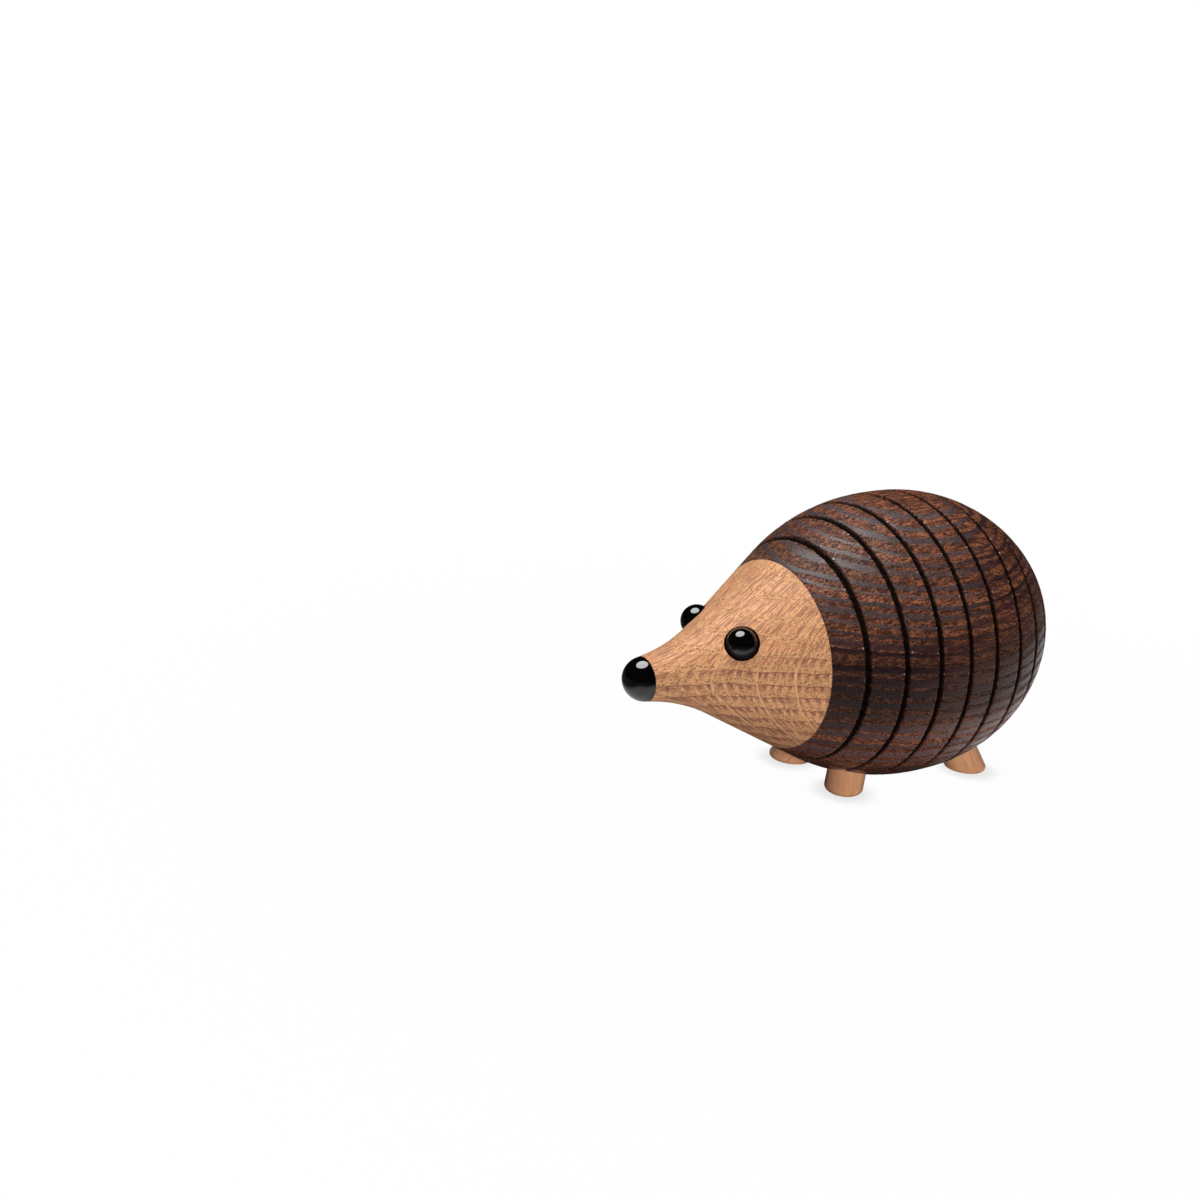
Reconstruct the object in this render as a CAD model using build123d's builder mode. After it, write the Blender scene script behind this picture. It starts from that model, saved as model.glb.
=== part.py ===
from build123d import *
import os
from math import asin, atan2, cos, degrees, hypot, radians, sin, sqrt, tan

# Wooden hedgehog figurine: a turned egg of a body with ring grooves, a turned cone of a head,
# bead eyes, a capped nose and four dowel feet that splay outwards and are cut flat at the table.
# Millimetres, +Z up, nose towards -Y, origin at the bottom centre of the whole figurine.
# A station is a distance along the lathe axis from the widest ring, positive towards the nose.

# Body
body_diameter = 59.0
tail_length = 33.6
tail_cap_share = 1.04
crown_length = 2.0
shoulder_radius = 45.0
shoulder_length = 31.8
nose_down_angle = 3.7
belly_clearance = 0.8

# Ring grooves, cut in two runs of one pitch
groove_width = 1.1
groove_depth = 1.6
groove_pitch = 6.8
front_groove_station = 25.7
front_groove_count = 5
rear_groove_station = -8.9
rear_groove_count = 3

# Head and nose
head_length = 30.6
snout_diameter = 8.8
snout_angle = 8.0
flare_lift = 3.6
nose_band_length = 0.4
nose_peg_diameter = 4.0
nose_peg_length = 6.0

# Eyes
eye_diameter = 6.5
eye_sink = 0.9
eye_back = 16.8
eye_raise_angle = 42.0
eye_shank_diameter = 2.2
eye_shank_length = 3.5

# Dowel that joins head and body
neck_dowel_diameter = 8.0
neck_dowel_in_body = 14.0
neck_dowel_in_head = 7.0

# Feet
foot_diameter = 8.0
foot_spread = 9.2
front_foot_reach = 15.6
rear_foot_reach = 19.6
foot_splay_angle = 31.5
foot_heading_angle = 41.0
foot_bore_wall = 1.0
foot_edge_radius = 1.0
dowel_chamfer = 0.5

# Fits
glue_gap = 0.05
eye_seat_gap = 0.2
end_gap = 0.3
overrun = 5.0

# Sizes that follow from those above
body_radius = body_diameter / 2
snout_radius = snout_diameter / 2
snout_station = shoulder_length + head_length
tilt = radians(nose_down_angle)
flare_end = radians(snout_angle)

# The rump is an oval of two arcs: a wide one from the crown and a cap round the tip of the tail,
# whose radius is a share of the tip radius that an ellipse of the same size would have
cap_radius = tail_cap_share * body_radius**2 / tail_length
cap_centre = cap_radius - tail_length
rump_radius = (cap_centre**2 + body_radius**2 - cap_radius**2) / (2 * (body_radius - cap_radius))
rump_end = rump_radius * cap_centre / (rump_radius - cap_radius)
rump_swing = asin(-rump_end / rump_radius)

# The straight flank touches the shoulder arc and runs to a point below the snout's rim
flank_run = snout_station - crown_length
flank_rise = snout_radius - flare_lift - (body_radius - shoulder_radius)
flank = asin(shoulder_radius / hypot(flank_run, flank_rise)) - atan2(flank_rise, flank_run)
shoulder_end = crown_length + shoulder_radius * sin(flank)
shoulder_end_radius = body_radius - shoulder_radius * (1 - cos(flank))

# The flare arc leaves the flank and reaches the snout's rim at the snout's own angle
flare_run = sin(flank) - sin(flare_end)
flare_drop = cos(flare_end) - cos(flank)
flare_radius = flare_lift / (flare_run * tan(flank) - flare_drop)
flare_start = snout_station - flare_radius * flare_run
flare_start_radius = snout_radius + flare_radius * flare_drop
flare_centre = snout_station + flare_radius * sin(flare_end)
flare_centre_radius = snout_radius + flare_radius * cos(flare_end)

band_end = snout_station + nose_band_length
band_end_radius = snout_radius - nose_band_length * tan(flare_end)
dome_radius = band_end_radius / cos(flare_end)
dome_centre = band_end - dome_radius * sin(flare_end)
nose_tip = dome_centre + dome_radius

belly_drop = crown_length * sin(tilt) + (body_radius - shoulder_radius) * cos(tilt) + shoulder_radius
crown_height = belly_clearance + belly_drop
nose_reach = dome_centre * cos(tilt) + dome_radius
tail_reach = cap_radius - cap_centre * cos(tilt)
crown_y = (nose_reach - tail_reach) / 2

lathe_plane = Plane(
    origin=(0, crown_y, crown_height),
    x_dir=(0, -cos(tilt), -sin(tilt)),
    z_dir=(-1, 0, 0),
)
lathe_axis = Axis(lathe_plane.origin, lathe_plane.x_dir)


def surface_radius(station):
    """Radius of the smooth body and head at a station."""
    if station < rump_end:
        return sqrt(cap_radius**2 - (station - cap_centre) ** 2)
    if station < 0:
        return body_radius - rump_radius + sqrt(rump_radius**2 - station**2)
    if station < crown_length:
        return body_radius
    if station < shoulder_end:
        along = station - crown_length
        return body_radius - shoulder_radius + sqrt(shoulder_radius**2 - along**2)
    if station < flare_start:
        return shoulder_end_radius - (station - shoulder_end) * tan(flank)
    return flare_centre_radius - sqrt(flare_radius**2 - (flare_centre - station) ** 2)


def cross_plane(station):
    """Plane across the lathe axis at a station, facing the nose."""
    return Plane(
        origin=lathe_plane.origin + lathe_plane.x_dir * station,
        x_dir=(1, 0, 0),
        z_dir=lathe_plane.x_dir,
    )


# Eyes: bead centres lie under the surface of the head, along its outward normal
eye_station = snout_station - eye_back
eye_surface_radius = surface_radius(eye_station)
eye_slope = flank if eye_station < flare_start else asin((flare_centre - eye_station) / flare_radius)
eye_seat_depth = eye_sink + eye_diameter / 2


def eye_plane(side):
    """Plane on the head's flank at one eye, facing outwards; side is 1 on +X and -1 on -X."""
    rise = radians(eye_raise_angle)
    radial = Vector(side * cos(rise), 0, 0) + lathe_plane.y_dir * sin(rise)
    on_axis = lathe_plane.origin + lathe_plane.x_dir * eye_station
    outward = radial * cos(eye_slope) + lathe_plane.x_dir * sin(eye_slope)
    return Plane(origin=on_axis + radial * eye_surface_radius, z_dir=outward)


# Feet: each stands at a contact point on the table and leans up and inwards into the body. All four
# are one length of dowel, which leaves a wall of wood between the ends of a pair of bores.
splay = radians(foot_splay_angle)
heading = radians(foot_heading_angle)
foot_bore_radius = foot_diameter / 2 + glue_gap
foot_lean = sin(splay) * sin(heading)
foot_bore_reach = foot_spread - foot_bore_wall / 2 - foot_bore_radius * sqrt(1 - foot_lean**2)
foot_bore_length = foot_bore_reach / foot_lean
foot_length = foot_bore_length - end_gap


def foot_plane(side, end):
    """Plane across a foot at the table; side is 1 on +X, end is -1 at the front and 1 at the rear."""
    reach = rear_foot_reach if end > 0 else front_foot_reach
    outward = Vector(side * sin(heading), end * cos(heading), 0)
    upward = Vector(0, 0, cos(splay)) - outward * sin(splay)
    return Plane(origin=(side * foot_spread, crown_y + end * reach, 0), x_dir=outward, z_dir=upward)


feet = {
    "foot_front_left": foot_plane(1, -1),
    "foot_front_right": foot_plane(-1, -1),
    "foot_rear_left": foot_plane(1, 1),
    "foot_rear_right": foot_plane(-1, 1),
}
eyes = {"eye_left": eye_plane(1), "eye_right": eye_plane(-1)}

front_grooves = [front_groove_station - i * groove_pitch for i in range(front_groove_count)]
rear_grooves = [rear_groove_station - i * groove_pitch for i in range(rear_groove_count)]

os.makedirs("parts", exist_ok=True)

# Blank: body and head are turned together, from the tail to the rim of the snout
with BuildPart() as blank:
    with BuildSketch(lathe_plane):
        with BuildLine():
            CenterArc((cap_centre, 0), cap_radius, 180, degrees(rump_swing) - 90)
            CenterArc((0, body_radius - rump_radius), rump_radius, 90, degrees(rump_swing))
            Line((0, body_radius), (crown_length, body_radius))
            CenterArc((crown_length, body_radius - shoulder_radius), shoulder_radius, 90, -degrees(flank))
            Line((shoulder_end, shoulder_end_radius), (flare_start, flare_start_radius))
            TangentArc(
                (flare_start, flare_start_radius),
                (snout_station, snout_radius),
                tangent=(cos(flank), -sin(flank)),
            )
            Line((snout_station, snout_radius), (snout_station, 0))
            Line((snout_station, 0), (-tail_length, 0))
        make_face()
    revolve(axis=lathe_axis)

# Body: the part of the blank behind the neck, its ring grooves, the neck bore and four foot bores
with BuildPart() as body:
    add(blank.part)
    split(bisect_by=cross_plane(shoulder_length), keep=Keep.BOTTOM)
    with BuildSketch(lathe_plane):
        for station in front_grooves + rear_grooves:
            with Locations((station, surface_radius(station) - groove_depth)):
                Rectangle(groove_width, groove_depth + overrun, align=(Align.CENTER, Align.MIN))
    revolve(axis=lathe_axis, mode=Mode.SUBTRACT)
    with BuildSketch(cross_plane(shoulder_length)):
        Circle(neck_dowel_diameter / 2 + glue_gap)
    extrude(amount=-(neck_dowel_in_body + end_gap), mode=Mode.SUBTRACT)
    for plane in feet.values():
        with BuildSketch(plane):
            Circle(foot_bore_radius)
        extrude(amount=foot_bore_length, mode=Mode.SUBTRACT)
body.part.label = "body"
export_step(body.part, "parts/body.step")

# Head: the part of the blank before the neck, with its neck bore, nose bore and two eye seats
with BuildPart() as head:
    add(blank.part)
    split(bisect_by=cross_plane(shoulder_length), keep=Keep.TOP)
    with BuildSketch(cross_plane(shoulder_length)):
        Circle(neck_dowel_diameter / 2 + glue_gap)
    extrude(amount=neck_dowel_in_head + end_gap, mode=Mode.SUBTRACT)
    with BuildSketch(cross_plane(snout_station)):
        Circle(nose_peg_diameter / 2 + glue_gap)
    extrude(amount=-(nose_peg_length + end_gap), mode=Mode.SUBTRACT)
    for plane in eyes.values():
        with BuildSketch(plane.offset(-eye_seat_depth)):
            Circle(eye_diameter / 2 + eye_seat_gap)
        extrude(amount=eye_seat_depth + overrun, mode=Mode.SUBTRACT)
        with BuildSketch(plane.offset(-eye_seat_depth)):
            Circle(eye_shank_diameter / 2 + glue_gap)
        extrude(amount=-(eye_shank_length + end_gap), mode=Mode.SUBTRACT)
head.part.label = "head"
export_step(head.part, "parts/head.step")

# Nose: a cap that carries on the snout's taper into a dome, with a peg behind it
with BuildPart() as nose:
    with BuildSketch(lathe_plane):
        with BuildLine():
            Line((snout_station, 0), (snout_station, snout_radius))
            Line((snout_station, snout_radius), (band_end, band_end_radius))
            CenterArc((dome_centre, 0), dome_radius, 0, 90 - snout_angle)
            Line((nose_tip, 0), (snout_station, 0))
        make_face()
    revolve(axis=lathe_axis)
    with BuildSketch(cross_plane(snout_station)):
        Circle(nose_peg_diameter / 2)
    extrude(amount=-nose_peg_length)
nose.part.label = "nose"
export_step(nose.part, "parts/nose.step")

# Neck dowel: hidden, half in the body and half in the head
with BuildPart() as neck_dowel:
    with BuildSketch(cross_plane(shoulder_length - neck_dowel_in_body)):
        Circle(neck_dowel_diameter / 2)
    extrude(amount=neck_dowel_in_body + neck_dowel_in_head)
    chamfer(neck_dowel.edges().filter_by(GeomType.CIRCLE), dowel_chamfer)
neck_dowel.part.label = "neck_dowel"
export_step(neck_dowel.part, "parts/neck_dowel.step")

# Eyes: beads on a short shank
for name, plane in eyes.items():
    with BuildPart() as eye:
        with Locations(plane.offset(-eye_sink)):
            Sphere(eye_diameter / 2)
        with BuildSketch(plane.offset(-eye_sink)):
            Circle(eye_shank_diameter / 2)
        extrude(amount=-(eye_diameter / 2 + eye_shank_length))
    eye.part.label = name
    export_step(eye.part, f"parts/{name}.step")

# Feet: dowels cut flat at the table, with the cut edge rounded over
for name, plane in feet.items():
    with BuildPart() as foot:
        with BuildSketch(plane.offset(-foot_diameter)):
            Circle(foot_diameter / 2)
        extrude(amount=foot_diameter + foot_length)
        chamfer(foot.faces().sort_by(Axis.Z)[-1].edges(), dowel_chamfer)
        split(bisect_by=Plane.XY, keep=Keep.TOP)
        fillet(foot.faces().sort_by(Axis.Z)[0].edges(), foot_edge_radius)
    foot.part.label = name
    export_step(foot.part, f"parts/{name}.step")
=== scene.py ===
from math import acos, asin, atan2, ceil, cos, hypot, pi, radians, sin, sqrt, tan

import bmesh
import bpy
from bpy.props import FloatProperty, FloatVectorProperty, IntProperty, PointerProperty
from mathutils import Matrix, Vector


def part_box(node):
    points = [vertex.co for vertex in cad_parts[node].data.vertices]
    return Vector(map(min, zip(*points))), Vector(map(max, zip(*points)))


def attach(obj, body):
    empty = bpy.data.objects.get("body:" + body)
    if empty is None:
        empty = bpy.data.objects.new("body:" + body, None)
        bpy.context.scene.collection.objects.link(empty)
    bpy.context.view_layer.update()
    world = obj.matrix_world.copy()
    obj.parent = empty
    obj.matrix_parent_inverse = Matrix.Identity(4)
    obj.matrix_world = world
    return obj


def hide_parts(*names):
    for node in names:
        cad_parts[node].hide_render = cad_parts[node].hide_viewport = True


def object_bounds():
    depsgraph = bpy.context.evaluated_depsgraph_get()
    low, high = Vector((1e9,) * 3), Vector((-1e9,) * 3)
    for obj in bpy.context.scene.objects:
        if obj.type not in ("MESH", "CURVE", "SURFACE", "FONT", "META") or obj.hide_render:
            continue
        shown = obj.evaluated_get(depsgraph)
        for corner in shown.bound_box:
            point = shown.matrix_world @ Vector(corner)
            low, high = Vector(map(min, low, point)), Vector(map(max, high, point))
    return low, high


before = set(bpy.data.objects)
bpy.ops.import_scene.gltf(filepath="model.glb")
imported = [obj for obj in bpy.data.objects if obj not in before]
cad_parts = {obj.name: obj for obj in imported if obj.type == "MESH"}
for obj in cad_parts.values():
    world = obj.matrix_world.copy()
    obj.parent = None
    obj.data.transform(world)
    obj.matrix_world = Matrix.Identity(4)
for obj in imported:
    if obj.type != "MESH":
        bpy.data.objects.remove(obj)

bl_info = {
    "name": "Turned Hedgehog",
    "version": (1, 0, 0),
    "blender": (4, 5, 0),
    "location": "View3D > Sidebar > Hedgehog",
    "description": "Finishes the turned wooden hedgehog and sets up its studio",
    "category": "Object",
}

CAD_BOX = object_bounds()
BODY_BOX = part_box("body")
BODY_WIDTH = BODY_BOX[1].x - BODY_BOX[0].x
MM = 0.001
UP = Vector((0, 0, 1))
LEFT = Vector((1, 0, 0))


# Sizes and colours that a user may change; lengths are written in millimetres, angles in degrees

def kind_of(make, scale=1, **options):
    """Short way to write properties of one kind; the scale takes a written default to the stored unit."""
    def write(name, description, default):
        return make(name=name, description=description, default=default * scale, **options)
    return write


length = kind_of(FloatProperty, MM, unit="LENGTH", precision=5)
angle = kind_of(FloatProperty, radians(1), subtype="ANGLE")
share = kind_of(FloatProperty, subtype="FACTOR")
number = kind_of(FloatProperty)
count = kind_of(IntProperty, min=1)
colour = kind_of(FloatVectorProperty, subtype="COLOR", size=3, min=0, max=1)


class HedgehogBodySizes(bpy.types.PropertyGroup):
    """Sizes of the turned body and its ring grooves."""

    body_diameter: length("Body diameter", "Across the widest ring", BODY_WIDTH / MM)
    tail_length: length("Tail length", "From the widest ring to the tip of the tail", 33.6)
    tail_cap_share: share("Tail cap", "Tip radius as a share of an ellipse's tip radius", 1.04)
    crown_length: length("Crown length", "Straight run at the widest ring", 2.0)
    shoulder_radius: length("Shoulder radius", "Arc from the crown towards the head", 45.0)
    shoulder_length: length("Shoulder length", "From the widest ring to the head", 31.8)
    nose_down_angle: angle("Nose down", "Tilt of the lathe axis", 3.7)
    groove_width: length("Groove width", "Width of a ring groove", 1.1)
    groove_depth: length("Groove depth", "Depth of a ring groove", 1.6)
    groove_pitch: length("Groove pitch", "Step from groove to groove", 6.8)
    front_groove_station: length("First front groove", "Its distance before the widest ring", 25.7)
    front_groove_count: count("Front grooves", "Grooves in the front run", 5)
    rear_groove_station: length("First rear groove", "Its distance before the widest ring", -8.9)
    rear_groove_count: count("Rear grooves", "Grooves in the rear run", 3)
    lip_radius: length("Lip radius", "Rounding along the groove edges", 0.16)
    chip_depth: length("Chip depth", "How far torn fibres eat into the groove edges", 0.22)
    seam_chamfer: length("Seam chamfer", "Broken edge where head and body meet", 0.06)


class HedgehogHeadSizes(bpy.types.PropertyGroup):
    """Sizes of the head, nose, eyes and the dowel in the neck."""

    head_length: length("Head length", "From the body to the rim of the snout", 30.6)
    snout_diameter: length("Snout diameter", "Across the rim of the snout", 8.8)
    snout_angle: angle("Snout angle", "Taper at the rim of the snout", 8.0)
    flare_lift: length("Flare lift", "How far the flare lifts the snout off the cone", 3.6)
    nose_band_length: length("Nose band", "Straight run behind the nose's dome", 0.4)
    nose_peg_diameter: length("Nose peg", "Across the peg behind the nose", 4.0)
    nose_peg_length: length("Nose peg length", "Length of the peg behind the nose", 6.0)
    eye_diameter: length("Eye diameter", "Across a bead", 6.5)
    eye_sink: length("Eye sink", "Depth of a bead's centre under the surface", 0.9)
    eye_back: length("Eye back", "From the rim of the snout back to the eyes", 16.8)
    eye_raise_angle: angle("Eye raise", "Height of the eyes round the axis", 42.0)
    eye_seat_gap: length("Eye seat gap", "Between a bead and its drilled seat", 0.2)
    eye_shank_diameter: length("Eye shank", "Across the shank behind a bead", 2.2)
    eye_shank_length: length("Eye shank length", "Length of the shank behind a bead", 3.5)
    neck_bore_diameter: length("Neck bore", "Across the bore for the neck dowel", 8.1)
    neck_bore_in_body: length("Neck bore in body", "Depth of the bore in the body", 14.3)
    neck_bore_in_head: length("Neck bore in head", "Depth of the bore in the head", 7.3)
    glue_gap: length("Glue gap", "Gap round a peg in its bore", 0.05)
    end_gap: length("End gap", "Gap at the end of a peg in its bore", 0.3)


class HedgehogFootSizes(bpy.types.PropertyGroup):
    """Sizes of the four dowel feet."""

    foot_diameter: length("Foot diameter", "Across the dowel", 8.0)
    foot_spread: length("Foot spread", "From the middle to a foot on the table", 9.2)
    front_foot_reach: length("Front reach", "From the widest ring forward to a foot", 15.6)
    rear_foot_reach: length("Rear reach", "From the widest ring back to a foot", 19.6)
    foot_splay_angle: angle("Splay", "Lean of a foot from upright", 31.5)
    foot_heading_angle: angle("Heading", "Direction that a foot points, from the length", 41.0)
    foot_bore_wall: length("Bore wall", "Wood left between a pair of bores", 1.0)
    foot_edge_radius: length("Foot edge", "Rounding at the table", 1.0)
    dowel_chamfer: length("Dowel chamfer", "Chamfer at the end in the bore", 0.5)


class HedgehogColours(bpy.types.PropertyGroup):
    """Colours of the finishes."""

    stain_brown: colour("Stained earlywood", "Porous brown bands of the body", (0.086, 0.0275, 0.0160))
    stain_rust: colour("Stained highlights", "Lighter fibres in the brown bands", (0.255, 0.0880, 0.0420))
    stain_slate: colour("Stained latewood", "Dense grey bands of the body", (0.040, 0.0172, 0.0195))
    # Real stain in the pores, and also the painted shade in the grooves
    stain_pore_and_groove_shade: colour("Stained pores and groove shade", "Open pores of the body", (0.008, 0.0035, 0.003))
    stain_plum: colour("Flank latewood", "Dense plum bands of the rear flank", (0.098, 0.036, 0.030))
    # Painted sheen: the lighter grey of latewood where it would shine
    stain_painted_sheen: colour("Latewood painted sheen", "Dense grey bands on the back of the body", (0.078, 0.058, 0.058))
    stain_speck: colour("Pale specks", "Torn pale fibres along the grooves", (0.55, 0.44, 0.36))
    oak_honey: colour("Oak", "Main colour of the head", (0.62, 0.275, 0.122))
    oak_streak: colour("Oak streaks", "Brown fibre streaks of the head", (0.265, 0.108, 0.070))
    # Also the painted highlight on the rims of the oak's pits
    oak_cream_and_pit_highlight: colour("Oak pale lines", "Pale fibres and growth lines of the head", (0.84, 0.440, 0.212))
    # Painted shade in the drilled eye seats
    oak_seat_shade: colour("Oak seats", "Drilled seats of the eyes", (0.030, 0.013, 0.007))
    oak_pore: colour("Oak pores", "Small pits of the head", (0.27, 0.100, 0.044))
    # The dowel's own tan, set lighter as painted light on the feet
    dowel_tan_and_painted_light: colour("Dowel", "Main colour of the feet", (0.92, 0.450, 0.236))
    dowel_streak: colour("Dowel streaks", "Brown streaks of the feet", (0.66, 0.298, 0.153))
    gloss_black: colour("Gloss black", "Eyes and nose", (0.0006, 0.0006, 0.0008))
    # Also the whole floor's colour in reflections: a painted dark reflection
    table_and_reflection_dark: colour("Table", "Table before the front edge of the white sheet", (0.05, 0.05, 0.05))
    paper_white: colour("Floor", "White studio floor", (0.52, 0.52, 0.52))


class HedgehogStudio(bpy.types.PropertyGroup):
    """Camera and light of the photograph."""

    azimuth: angle("Azimuth", "Camera direction round the object", 55.948)
    elevation: angle("Elevation", "Camera height above the horizon", 16.808)
    roll: angle("Roll", "Turn of the camera about its own axis", 5.711)
    crown_distance: length("Distance", "Depth of the widest ring's centre", 355.19)
    focal_pixels: number("Focal length", "In pixels of the photograph", 1692.81)
    crown_column: number("Centre column", "Pixel column of the widest ring's centre", 890.80)
    crown_row: number("Centre row", "Pixel row of the widest ring's centre", 630.22)
    photo_width: number("Photo width", "In pixels", 1200)
    photo_height: number("Photo height", "In pixels", 1201)
    softbox_distance: length("Softbox distance", "From the object's middle", 600.0)
    softbox_diameter: length("Softbox diameter", "Round softbox above the object", 510.0)
    softbox_power: number("Softbox power", "In watts", 4.55)
    softbox_lean_left: angle("Softbox left", "Lean of the softbox to the camera's left", 18.0)
    softbox_lean_back: angle("Softbox back", "Lean of the softbox away from the camera", 5.0)
    fill_distance: length("Fill distance", "From the object's middle to the fill lamp", 800.0)
    fill_diameter: length("Fill diameter", "Round fill lamp on the camera's side", 240.0)
    fill_power: number("Fill power", "In watts", 3.45)
    fill_elevation: angle("Fill elevation", "Height of the fill lamp above the horizon", 11.0)
    fill_swing: angle("Fill swing", "Turn of the fill lamp to the camera's right", 12.0)
    room_light: share("Room light", "Strength of the dim room round the object", 0.05)
    floor_lift: share("Floor lift", "How much of its shadow the white floor loses", 0.98)
    # Painted shadow round each foot
    foot_shadow: share("Foot shadow", "Darkness of the floor where a foot touches it", 0.22)
    foot_shadow_reach: length("Foot shadow reach", "How far it spreads round a foot", 5.0)


class HedgehogSettings(bpy.types.PropertyGroup):
    """All settings of the hedgehog."""

    body: PointerProperty(type=HedgehogBodySizes)
    head: PointerProperty(type=HedgehogHeadSizes)
    feet: PointerProperty(type=HedgehogFootSizes)
    colours: PointerProperty(type=HedgehogColours)
    studio: PointerProperty(type=HedgehogStudio)


def settings():
    return bpy.context.scene.hedgehog


# Turned outline of body and head; a station is a distance along the lathe axis, positive to the nose

class Outline:
    """Everything that follows from the sizes of the turned blank."""

    def __init__(self):
        body = settings().body
        head = settings().head
        self.radius = body.body_diameter / 2
        self.crown_length = body.crown_length
        self.shoulder_radius = body.shoulder_radius
        self.neck = body.shoulder_length
        self.snout = body.shoulder_length + head.head_length
        self.snout_radius = head.snout_diameter / 2

        self.cap_radius = body.tail_cap_share * self.radius**2 / body.tail_length
        self.cap_centre = self.cap_radius - body.tail_length
        rise = self.cap_centre**2 + self.radius**2 - self.cap_radius**2
        self.rump_radius = rise / (2 * (self.radius - self.cap_radius))
        self.rump_end = self.rump_radius * self.cap_centre / (self.rump_radius - self.cap_radius)

        flank_run = self.snout - self.crown_length
        flank_rise = self.snout_radius - head.flare_lift - (self.radius - self.shoulder_radius)
        reach = hypot(flank_run, flank_rise)
        self.flank = asin(self.shoulder_radius / reach) - atan2(flank_rise, flank_run)
        self.shoulder_end = self.crown_length + self.shoulder_radius * sin(self.flank)
        self.shoulder_end_radius = self.radius - self.shoulder_radius * (1 - cos(self.flank))

        flare_run = sin(self.flank) - sin(head.snout_angle)
        flare_drop = cos(head.snout_angle) - cos(self.flank)
        self.flare_radius = head.flare_lift / (flare_run * tan(self.flank) - flare_drop)
        self.flare_start = self.snout - self.flare_radius * flare_run
        self.flare_centre = self.snout + self.flare_radius * sin(head.snout_angle)
        self.flare_centre_radius = self.snout_radius + self.flare_radius * cos(head.snout_angle)

        tilt = body.nose_down_angle
        tail_reach = self.cap_radius - self.cap_centre * cos(tilt)
        belly_drop = self.crown_length * sin(tilt) + self.shoulder_radius
        belly_drop += (self.radius - self.shoulder_radius) * cos(tilt)
        self.crown = Vector((0, CAD_BOX[1].y - tail_reach, BODY_BOX[0].z + belly_drop))
        self.forward = Vector((0, -cos(tilt), -sin(tilt)))
        self.top = Vector((0, -sin(tilt), cos(tilt)))
        self.axes = (self.crown, self.forward, LEFT)

    def at(self, station):
        """Radius of the smooth surface at a station."""
        if station < self.rump_end:
            return sqrt(max(self.cap_radius**2 - (station - self.cap_centre) ** 2, 0))
        if station < 0:
            return self.radius - self.rump_radius + sqrt(self.rump_radius**2 - station**2)
        if station < self.crown_length:
            return self.radius
        if station < self.shoulder_end:
            along = station - self.crown_length
            return self.radius - self.shoulder_radius + sqrt(self.shoulder_radius**2 - along**2)
        if station < self.flare_start:
            return self.shoulder_end_radius - (station - self.shoulder_end) * tan(self.flank)
        return self.flare_centre_radius - sqrt(self.flare_radius**2 - (self.flare_centre - station) ** 2)

    def stretch(self, start, end, step):
        """Points of the smooth surface from one station to another, about one step apart."""
        pieces = max(ceil((end - start) / step), 1)
        stations = [start + (end - start) * i / pieces for i in range(pieces + 1)]
        return [(station, self.at(station)) for station in stations]


SURFACE_STEP = 1.5 * MM
LIP_REACH = 0.5 * MM
LIP_STEPS = 3
WALL_STEPS = 2
CAP_STEPS = 24
TAIL_CAP_TURN = 0.55 * pi / 2
TAIL_CAP_EASE = 1.2
EYE_DULL_START = 0.76
EYE_DULL_RUN = 0.14


def groove_stations():
    body = settings().body
    front = [body.front_groove_station - i * body.groove_pitch for i in range(body.front_groove_count)]
    rear = [body.rear_groove_station - i * body.groove_pitch for i in range(body.rear_groove_count)]
    return sorted(front + rear)


def groove_points(outline, station):
    """Profile across one groove, from its tail side to its nose side: (station, radius, lip)."""
    body = settings().body
    half = body.groove_width / 2
    lip = body.lip_radius
    floor = outline.at(station) - body.groove_depth
    points = []
    for side in (-1, 1):
        edge = station + side * half
        lip_radius = outline.at(edge)
        wall = []
        for i in range(LIP_STEPS + 1):
            turn = pi / 2 * i / LIP_STEPS
            spot = edge + side * lip * (1 - sin(turn))
            wall.append((spot, outline.at(spot) - lip * (1 - cos(turn)), 1.0))
        for i in range(1, WALL_STEPS + 1):
            deep = i / WALL_STEPS
            wall.append((edge, lip_radius - lip + (floor - lip_radius + lip) * deep, 1.0 + deep))
        outer = edge + side * (lip + LIP_REACH)
        middle = edge + side * (lip + LIP_REACH / 2)
        wall = [(outer, outline.at(outer)), (middle, outline.at(middle), 0.5)] + wall
        points += wall if side < 0 else wall[::-1]
    return points


def body_profile(outline):
    """Body from the tail over the grooves to the neck face and into the neck bore."""
    body = settings().body
    head = settings().head
    bore = head.neck_bore_diameter / 2
    bore_end = outline.neck - head.neck_bore_in_body
    reach = body.groove_width / 2 + body.lip_radius + LIP_REACH
    points = []
    for i in range(CAP_STEPS):
        turn = TAIL_CAP_TURN * (i / CAP_STEPS) ** TAIL_CAP_EASE
        station = outline.cap_centre - outline.cap_radius * cos(turn)
        if station < groove_stations()[0] - reach:
            points.append((station, outline.cap_radius * sin(turn)))
    last = points[-1][0]
    for station in groove_stations():
        points += outline.stretch(last, station - reach, SURFACE_STEP)[1:-1]
        points += groove_points(outline, station)
        last = station + reach
    chamfer = body.seam_chamfer
    points += outline.stretch(last, outline.neck - chamfer, SURFACE_STEP)[1:]
    points.append((outline.neck, outline.at(outline.neck) - chamfer))
    points += [(outline.neck, bore), (bore_end, bore), (bore_end, 0.0)]
    return points


def head_profile(outline):
    """Head from the neck bore over the cone and the flare to the snout and into the nose bore."""
    body = settings().body
    head = settings().head
    bore = head.neck_bore_diameter / 2
    bore_end = outline.neck + head.neck_bore_in_head
    peg = head.nose_peg_diameter / 2 + head.glue_gap
    peg_end = outline.snout - head.nose_peg_length - head.end_gap
    chamfer = body.seam_chamfer
    points = [(bore_end, 0.0), (bore_end, bore), (outline.neck, bore)]
    points.append((outline.neck, outline.at(outline.neck) - chamfer))
    points += outline.stretch(outline.neck + chamfer, outline.snout - chamfer, SURFACE_STEP / 4)
    points.append((outline.snout, outline.snout_radius - chamfer))
    points += [(outline.snout, peg), (peg_end, peg), (peg_end, 0.0)]
    return points


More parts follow.
